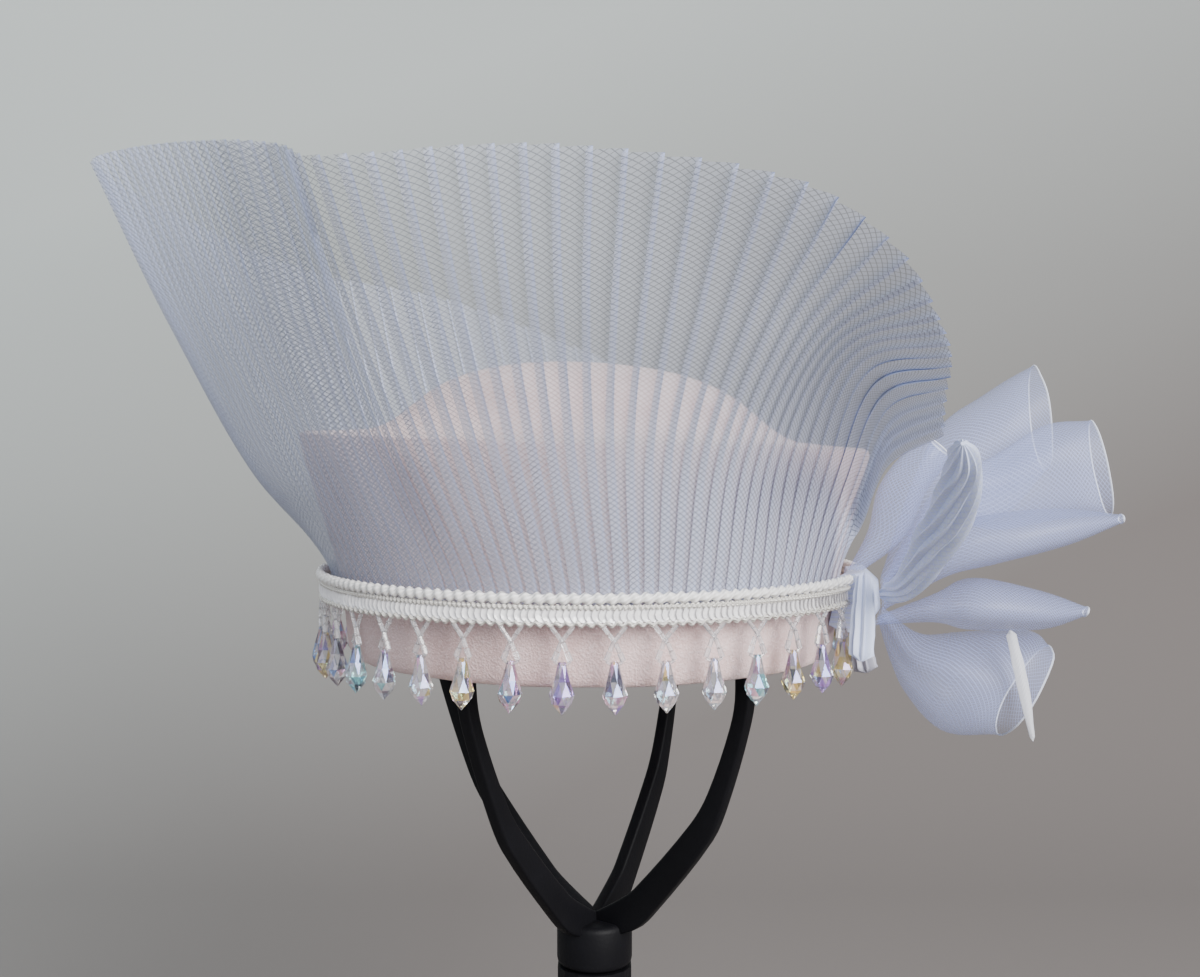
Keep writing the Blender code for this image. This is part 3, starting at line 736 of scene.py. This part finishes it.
def trim_hoop(cord):
    """A trim cord round the hat, swelling and wandering once every pitch."""
    radius = TRIM_RADIUS + cord.reach
    arc = math.radians(TRIM_SWEEP) * radius
    count = int(arc / cord.pitch) * cord.per_pitch
    places, weaves = [], []
    for r in range(count + 1):
        bearing = TRIM_START - TRIM_SWEEP * r / count
        phase = math.tau * r / cord.per_pitch
        swell = 1 + cord.swell * (0.5 + 0.5 * math.cos(phase))
        line, cloth = [], []
        for k in range(cord.sides + 1):
            turn = math.tau * (k % cord.sides) / cord.sides
            out = radius + cord.thick_out * swell * math.cos(turn)
            lift = cord.height + cord.wave * math.sin(phase) + cord.thick_up * swell * math.sin(turn)
            line.append(around(bearing, out, lift))
            cloth.append((k * 6.0 / cord.sides, arc * r / count))
        places.append(line)
        weaves.append(cloth)
    return cloth_grid(places, weaves, closed=True)


def sequins():
    """Overlapping cup sequins, each tipped out from under the last."""
    dice = random.Random(7)
    bm = bmesh.new()
    arc = math.radians(TRIM_SWEEP) * TRIM_RADIUS
    count = int(arc / SEQUIN_PITCH)
    for i in range(count):
        bearing = TRIM_START - TRIM_SWEEP * (i + 0.5) / count
        tip = SEQUIN_TIP + dice.uniform(-4, 4)
        made = bmesh.ops.create_circle(bm, cap_ends=False, segments=SEQUIN_SIDES,
                                        radius=SEQUIN_RADIUS)
        rim = made["verts"]
        edges = list({edge for vert in rim for edge in vert.link_edges})
        inner = bmesh.ops.extrude_edge_only(bm, edges=edges)["geom"]
        cup = [g for g in inner if isinstance(g, bmesh.types.BMVert)]
        bmesh.ops.scale(bm, vec=(SEQUIN_FLOOR, SEQUIN_FLOOR, 1.0), verts=cup)
        bmesh.ops.translate(bm, vec=(0.0, 0.0, -SEQUIN_DEPTH), verts=cup)
        bmesh.ops.contextual_create(bm, geom=[g for g in inner if isinstance(g, bmesh.types.BMEdge)])
        turn = (Matrix.Translation(around(bearing, TRIM_RADIUS + 1.15, SEQUIN_HEIGHT))
                @ Matrix.Rotation(math.radians(bearing), 4, "Z")
                @ Matrix.Rotation(math.radians(tip), 4, "Z")
                @ Matrix.Rotation(math.radians(90 + dice.uniform(-6, 6)), 4, "X"))
        bmesh.ops.transform(bm, matrix=turn, verts=rim + cup)
    return bm


def drop_bearings():
    return [FIRST_DROP - DROP_PITCH * i for i in range(DROPS)]


CUT = (
    ProfilePoint(1.0, 0.0),
    ProfilePoint(1.25, -0.9),
    ProfilePoint(2.35, -5.2),
    ProfilePoint(3.5, -9.0),
    ProfilePoint(2.7, -11.4),
    ProfilePoint(0.12, -14.4),
)
CLEAR = (0.98, 0.98, 1.0)
# Painted reflection: a dark tint for facets that show dark reflections
PAINTED_DARK_REFLECTION = (0.16, 0.18, 0.23)
# Painted reflections: the coat's rainbow colours, which change with the angle of the light, painted into
# facets as fixed tints
TINTS = (
    (0.20, 0.46, 1.00),
    (0.58, 0.38, 1.00),
    CLEAR,
    (1.00, 0.80, 0.24),
    (0.98, 0.55, 0.80),
    (0.34, 0.90, 0.96),
    CLEAR,
)


def crystal_drops():
    """Briolettes: rings of kite facets, turned half a facet from ring to ring."""
    dice = random.Random(11)
    bm = bmesh.new()
    layer = bm.loops.layers.float_color.new("tint")
    for bearing in drop_bearings():
        own = dice.choice(TINTS)
        rings = []
        for level, point in enumerate(CUT):
            made = bmesh.ops.create_circle(bm, cap_ends=False, segments=DROP_SIDES,
                                           radius=point.radius)["verts"]
            turn = Matrix.Rotation(math.pi / DROP_SIDES * (level % 2), 4, "Z")
            lift = Matrix.Translation((0.0, 0.0, point.height))
            bmesh.ops.transform(bm, matrix=lift @ turn, verts=made)
            rings.append(made)
        faces = []
        for upper, lower in zip(rings, rings[1:]):
            edges = list({e for v in upper + lower for e in v.link_edges
                          if all(w in upper for w in e.verts) or all(w in lower for w in e.verts)})
            faces += bmesh.ops.bridge_loops(bm, edges=edges)["faces"]
        for ring in (rings[0], rings[-1]):
            faces += bmesh.ops.contextual_create(
                bm, geom=list({e for v in ring for e in v.link_edges
                               if all(w in ring for w in e.verts)}))["faces"]
        faces = bmesh.ops.triangulate(bm, faces=faces)["faces"]
        for face in faces:
            # Painted reflection: each facet gets a fixed tint, mostly clear, some in the coat's colours,
            # some dark.
            tint = dice.choice((own, own, CLEAR, CLEAR, CLEAR, PAINTED_DARK_REFLECTION, dice.choice(TINTS)))
            for loop in face.loops:
                loop[layer] = (*tint, 1.0)
        verts = [vert for ring in rings for vert in ring]
        spot = (Matrix.Translation(around(bearing, TRIM_RADIUS + 0.75, DROP_TOP))
                @ Matrix.Rotation(math.radians(bearing + dice.uniform(-20, 20)), 4, "Z")
                @ Matrix.Rotation(math.radians(dice.uniform(-2.5, 2.5)), 4, "Y"))
        bmesh.ops.transform(bm, matrix=spot, verts=verts)
    return bm


def bead(bm, start, end, radius):
    """One bugle bead between two places."""
    line = Vector(end) - Vector(start)
    made = bmesh.ops.create_cone(bm, cap_ends=True, segments=7, radius1=radius, radius2=radius,
                                 depth=line.length)["verts"]
    turn = Vector((0, 0, 1)).rotation_difference(line.normalized()).to_matrix().to_4x4()
    middle = Matrix.Translation((Vector(start) + Vector(end)) / 2)
    bmesh.ops.transform(bm, matrix=middle @ turn, verts=made)
    return made


def bead_strands():
    """Each drop hangs from two short strings of bugle beads that cross under the edging."""
    dice = random.Random(5)
    bm = bmesh.new()
    for bearing in drop_bearings():
        made = []
        for side in (1, -1):
            top = Vector((side * STRAND_TOP_REACH, 0.0, STRAND_TOP))
            cross = Vector((-side * 0.15, side * 0.5, STRAND_CROSS + dice.uniform(-0.4, 0.4)))
            shoulder = Vector((-side * STRAND_SHOULDER_REACH, side * 0.4, STRAND_SHOULDER))
            foot = Vector((-side * STRAND_FOOT_REACH, 0.0, STRAND_FOOT))
            made += bead(bm, top, top.lerp(cross, 0.48), BEAD)
            made += bead(bm, top.lerp(cross, 0.52), cross, BEAD)
            made += bead(bm, cross.lerp(shoulder, 0.06), cross.lerp(shoulder, 0.5), LOWER_BEAD)
            made += bead(bm, cross.lerp(shoulder, 0.55), shoulder, SHOULDER_BEAD)
            made += bead(bm, shoulder + Vector((0, 0, -0.2)), foot, FOOT_BEAD)
        spot = (Matrix.Translation(around(bearing, TRIM_RADIUS + 0.75, 0.0))
                @ Matrix.Rotation(math.radians(bearing), 4, "Z"))
        bmesh.ops.transform(bm, matrix=spot, verts=made)
    return bm


def sheer_loop(sections, folds, seed):
    """A bow loop: one sheet of net bent round, drawn in at its near end."""
    keys = [i / (len(sections) - 1) for i in range(len(sections))]
    uppers = [Vector(s.upper) for s in sections]
    lowers = [Vector(s.lower) for s in sections]
    depths = [s.half_depth for s in sections]
    places, weaves = [], []
    reach = 0.0
    last = None
    for r in range(BOW_STATIONS):
        t = r / (BOW_STATIONS - 1)
        upper, lower = flow(keys, uppers, t), flow(keys, lowers, t)
        deep = flow(keys, depths, t)
        middle, half = (upper + lower) / 2, (upper - lower) / 2
        reach += (middle - last).length if last else 0.0
        last = middle
        line, cloth = [], []
        girth = math.pi * (half.length + deep)
        for k in range(BOW_SIDES + 1):
            turn = math.tau * (k % BOW_SIDES) / BOW_SIDES
            drawn_in = CREASE_DEPTH * folds * math.sin(turn * CREASES + seed) * (1.0 - t)
            ripple = noise.noise(Vector((math.cos(turn) * 1.4, math.sin(turn) * 1.4, t * 2 + seed)))
            crease = 1.0 + drawn_in + ripple * RIPPLE
            line.append(middle + half * math.cos(turn) * crease
                        + Vector((0.0, -deep * crease, 0.0)) * math.sin(turn))
            cloth.append((girth * k / BOW_SIDES, reach))
        places.append(line)
        weaves.append(cloth)
    return cloth_grid(places, weaves), places


def rolled_edge(line, radius, sides=5):
    """The fine rolled edge of a net loop."""
    places, weaves = [], []
    count = len(line) - 1
    for k in range(count + 1):
        here = line[k % count]
        ahead = line[(k + 1) % count] - line[(k - 1) % count]
        along = ahead.normalized()
        side = along.cross(Vector((0.3, 1.0, 0.2))).normalized()
        other = along.cross(side)
        ring = []
        for j in range(sides + 1):
            turn = math.tau * (j % sides) / sides
            ring.append(here + (side * math.cos(turn) + other * math.sin(turn)) * radius)
        places.append(ring)
        weaves.append([(j * 1.0, k * 1.2) for j in range(sides + 1)])
    return cloth_grid(places, weaves, closed=True)


def swept_gather():
    bm = bmesh.new()
    layer = bm.loops.layers.uv.new("weave")
    face = bm.faces.new([bm.verts.new(around(GATHER_START, p.radius, p.height))
                         for p in GATHER_SECTION])
    bmesh.ops.spin(bm, geom=[face], cent=(0, 0, 0), axis=(0, 0, 1),
                   angle=math.radians(GATHER_SWEEP), steps=GATHER_STEPS)
    bmesh.ops.subdivide_edges(bm, edges=[e for e in bm.edges if abs(
        e.verts[0].co.to_2d().angle(e.verts[1].co.to_2d(), 0.0)) < 0.002], cuts=3)
    for vert in bm.verts:
        bearing = math.degrees(math.atan2(vert.co.x, -vert.co.y))
        radius = vert.co.to_2d().length
        if radius > RIDGE_RADIUS:
            ridge = math.sin(bearing * RIDGES_PER_DEGREE + vert.co.z * 0.12) * RIDGE_DEPTH - RIDGE_SINK
            vert.co += Vector((vert.co.x, vert.co.y, 0)).normalized() * ridge
    for item in bm.faces:
        for loop in item.loops:
            loop[layer].uv = (math.degrees(math.atan2(loop.vert.co.x, -loop.vert.co.y)) * 1.6,
                              loop.vert.co.z)
    return bm


def stand_loop(bearing, step):
    bm = bmesh.new()
    edges = []
    inner = offset_inwards(LOOP_PROFILE, [point.width for point in LOOP_PROFILE])
    for side in (LOOP_PROFILE, inner):
        keys = [0.0]
        for before, after in zip(side, side[1:]):
            keys.append(keys[-1] + math.hypot(after.radius - before.radius,
                                              after.height - before.height))
        turns = [low + (high - low) * i / LOOP_FINENESS for low, high in zip(keys, keys[1:])
                 for i in range(LOOP_FINENESS)] + [keys[-1]]
        half = [(flow(keys, [p.radius for p in side], t), flow(keys, [p.height for p in side], t))
                for t in turns]
        half[0] = (0.0, half[0][1] - step)
        half[-1] = (0.0, half[-1][1] + step)
        whole = half + [(-radius, height) for radius, height in half[-2:0:-1]]
        ring = [bm.verts.new((radius, -LOOP_THICKNESS / 2, height)) for radius, height in whole]
        edges += [bm.edges.new((ring[k - 1], ring[k])) for k in range(len(ring))]
    band = bmesh.ops.bridge_loops(bm, edges=edges)["faces"]
    pushed = bmesh.ops.extrude_face_region(bm, geom=band)
    moved = [item for item in pushed["geom"] if isinstance(item, bmesh.types.BMVert)]
    bmesh.ops.translate(bm, vec=(0.0, LOOP_THICKNESS, 0.0), verts=moved)
    bmesh.ops.recalc_face_normals(bm, faces=bm.faces[:])
    corners = [e for e in bm.edges if e.calc_face_angle(0.0) > math.radians(60)]
    bmesh.ops.bevel(bm, geom=corners, offset=0.9, affect="EDGES", segments=3, profile=0.5,
                    material=-1)
    turn = Matrix.Rotation(math.radians(bearing - 90.0), 4, "Z")
    bmesh.ops.transform(bm, matrix=turn, verts=bm.verts[:])
    for vert in bm.verts:
        vert.co.x += LOOP_SHIFT * between(SHIFT_BOTTOM, SHIFT_TOP, vert.co.z)
    return bm


def stem():
    bm = bmesh.new()
    bmesh.ops.create_cone(bm, cap_ends=True, segments=48, radius1=STEM_RADIUS, radius2=STEM_RADIUS,
                          depth=STEM_TOP - STEM_BOTTOM)
    rims = [e for e in bm.edges if e.calc_face_angle(0.0) > math.radians(60)]
    bmesh.ops.bevel(bm, geom=rims, offset=2.2, affect="EDGES", segments=3, profile=0.5, material=-1)
    bmesh.ops.translate(bm, vec=(0.0, 0.0, (STEM_TOP + STEM_BOTTOM) / 2), verts=bm.verts[:])
    return bm


# The pieces put together

pleat_net = net_finish("pleated_net", rise=1.15, spacing=1.9, haze=0.20, strand=0.085,
                       pale=(0.76, 0.82, 1.0), dark=(0.20, 0.22, 0.29), pleat=PLEAT_CLOTH,
                       dark_cover=0.66, pale_cover=0.46)
bundle_net = net_finish("bundled_net", rise=1.3, spacing=1.5, haze=0.76, strand=0.12,
                        pale=(0.74, 0.82, 1.0), dark=(0.54, 0.61, 0.90), dark_cover=0.9,
                        pale_cover=0.95)
# Painted shade: the tuft that lies in shadow gets its own darker copy of the bundled net.
painted_shade_net = net_finish("shaded_net", rise=2.4, spacing=2.0, haze=0.85, strand=0.14,
                      pale=(0.46, 0.46, 0.54), dark=(0.27, 0.27, 0.33), dark_cover=0.95)
fine_net = net_finish("plain_net", rise=1.0, spacing=1.35, haze=0.25, strand=0.11,
                      pale=(0.31, 0.37, 0.66), dark=(0.42, 0.49, 0.82), dark_cover=0.50,
                      pale_cover=0.40)
# Painted highlight: the rolled edges of the bow loops are painted far paler than the loops; the thicker
# cover is the rolled net itself.
rolled_net_painted_highlight = net_finish("rolled_net_painted_highlight", rise=1.0, spacing=1.3, haze=0.75, strand=0.10,
                        pale=(0.80, 0.84, 0.95), dark=(0.66, 0.70, 0.84), dark_cover=0.9)
black = stand_finish()

finish_piece("felt_crown", felt_crown(), felt_finish(), ["crown"], place=level_at, smooth=50.0)

frill = finish_piece("pleated_frill", pleated_frill(), pleat_net, ["frill"], smooth=30.0,
                     normals=False)

finish_piece("frill_roll_net", pleated_bundle(ROLL, ROLL_CLOTH), bundle_net,
             ["frill_roll"])
finish_piece("tuft_light_net", pleated_bundle(TUFT_LIGHT, TUFT_LIGHT_CLOTH), bundle_net,
             ["tuft_light"])
# The shaded tuft wears the darker net: painted shade.
finish_piece("tuft_dark_net", pleated_bundle(TUFT_DARK, TUFT_DARK_CLOTH), painted_shade_net,
             ["tuft_dark"])
finish_piece("gathered_net", swept_gather(), bundle_net, ["frill_gather"],
             place=level_at)

finish_piece("scalloped_braid", trim_hoop(BRAID), braid_finish(), ["braid_cord"],
             place=level_at)
thread = thread_finish()
finish_piece("sequins", sequins(), sequin_finish(), ["sequin_band"],
             place=level_at, smooth=25.0)
finish_piece("stitched_chain", trim_hoop(CHAIN), thread, place=level_at)
finish_piece("loop_edging", trim_hoop(EDGING), thread, ["fringe_hangers"],
             place=level_at)
finish_piece("bead_strands", bead_strands(), bead_finish(), place=level_at,
             smooth=30.0)
finish_piece("crystal_drops", crystal_drops(), crystal_finish(),
             ["drop_%02d" % n for n in range(1, DROPS + 1)], place=level_at, smooth=0)

LoopCloth = namedtuple("LoopCloth", "folds seed flat")
LOOP_CLOTHS = {
    "bow_inner": LoopCloth(0.4, 1.0, (0.040, 0.045)),
    "bow_upper": LoopCloth(0.8, 2.0, (0.078, 0.078)),
    "bow_small": LoopCloth(0.7, 3.0, (0.048, 0.080)),
    "bow_middle": LoopCloth(0.5, 4.0, (0.055, 0.080)),
    "bow_lower": LoopCloth(0.5, 5.0, (0.060, 0.062)),
    "bow_bottom": LoopCloth(0.9, 6.0, (0.085, 0.052)),
}
for name, sections in BOW.items():
    cloth = LOOP_CLOTHS[name]
    bm, places = sheer_loop(sections, cloth.folds, cloth.seed)
    loop = finish_piece(name + "_net", bm, fine_net, [name], smooth=80.0)
    edge = finish_piece(name + "_edge", rolled_edge(places[-1], BOW_EDGE), rolled_net_painted_highlight)

finish_piece("ribbon_tail", pleated_bundle(TAIL, TAIL_CLOTH), satin_finish(),
             ["bow_tail"])

finish_piece("stand_loop_right", stand_loop(STAND_BEARINGS[0], 0.0), black,
             ["stand_top"], place=stand_at, smooth=35.0)
finish_piece("stand_loop_left", stand_loop(STAND_BEARINGS[1], LOOP_STEP), black,
             place=stand_at, smooth=35.0)
finish_piece("stand_stem", stem(), black, place=stand_at, smooth=35.0)
base = bpy.data.objects["stand_base"]
for entry in base.material_slots:
    entry.material = black

# Stage, light and camera

FLOOR_FRONT = -2.2
FLOOR_BACK = 0.55
BEND = 0.5
WALL_TOP = 3.2
HALF_STAGE = 3.0


def sweep_backdrop():
    """Floor and wall in one sheet, joined by a wide curve; sizes here are metres."""
    bm = bmesh.new()
    outline = [(FLOOR_FRONT, 0.0), (FLOOR_BACK, 0.0)]
    for degrees in range(10, 91, 10):
        turn = math.radians(degrees)
        outline.append((FLOOR_BACK + BEND * math.sin(turn), BEND - BEND * math.cos(turn)))
    outline.append((FLOOR_BACK + BEND, WALL_TOP))
    verts = [bm.verts.new((-HALF_STAGE, y, z)) for y, z in outline]
    edges = [bm.edges.new(pair) for pair in zip(verts, verts[1:])]
    moved = [g for g in bmesh.ops.extrude_edge_only(bm, edges=edges)["geom"]
             if isinstance(g, bmesh.types.BMVert)]
    bmesh.ops.translate(bm, vec=(2 * HALF_STAGE, 0.0, 0.0), verts=moved)
    bmesh.ops.recalc_face_normals(bm, faces=bm.faces[:])
    mesh = bpy.data.meshes.new("backdrop")
    bm.to_mesh(mesh)
    bm.free()
    mesh.materials.append(stage_finish())
    mesh.shade_smooth()
    backdrop = bpy.data.objects.new("backdrop", mesh)
    bpy.context.scene.collection.objects.link(backdrop)


def lamp(name, place, aim, size, power, colour):
    data = bpy.data.lights.new(name, "AREA")
    data.shape = "DISK"
    data.size = size
    data.energy = power
    data.color = colour
    made = bpy.data.objects.new(name, data)
    made.location = place
    made.rotation_euler = (Vector(aim) - Vector(place)).to_track_quat("-Z", "Y").to_euler()
    bpy.context.scene.collection.objects.link(made)


sweep_backdrop()
lamp("window", (0.86, -1.26, 0.95), (0.0, 0.0, 0.30), 1.2, 68.0, (1.0, 0.985, 0.965))
lamp("sky_fill", (-1.1, -0.9, 1.0), (0.0, 0.0, 0.35), 1.4, 5.0, (0.86, 0.92, 1.0))
lamp("wall_wash", (-0.9, 0.2, 1.5), (-0.6, 1.05, 0.75), 0.6, 9.0, (0.95, 1.0, 0.97))

world = bpy.data.worlds.new("room")
world.use_nodes = True
world.node_tree.nodes["Background"].inputs[0].default_value = (0.80, 0.84, 0.92, 1.0)
world.node_tree.nodes["Background"].inputs[1].default_value = 0.58
bpy.context.scene.world = world

PICTURE_WIDTH = 1200
PICTURE_HEIGHT = 977
HORIZON_ROW = 430
lens = bpy.data.cameras.new("camera")
lens.sensor_width = 36.0
lens.lens = 43.5
lens.clip_start = 0.01
lens.shift_y = -(PICTURE_HEIGHT / 2 - HORIZON_ROW) / PICTURE_WIDTH
camera = bpy.data.objects.new("camera", lens)
camera.location = ((5.6 + AXIS_X) * MM, (AXIS_Y - 480.0) * MM, HAT_LEVEL * MM)
camera.rotation_euler = (math.radians(90.0), 0.0, 0.0)
bpy.context.scene.collection.objects.link(camera)
bpy.context.scene.camera = camera
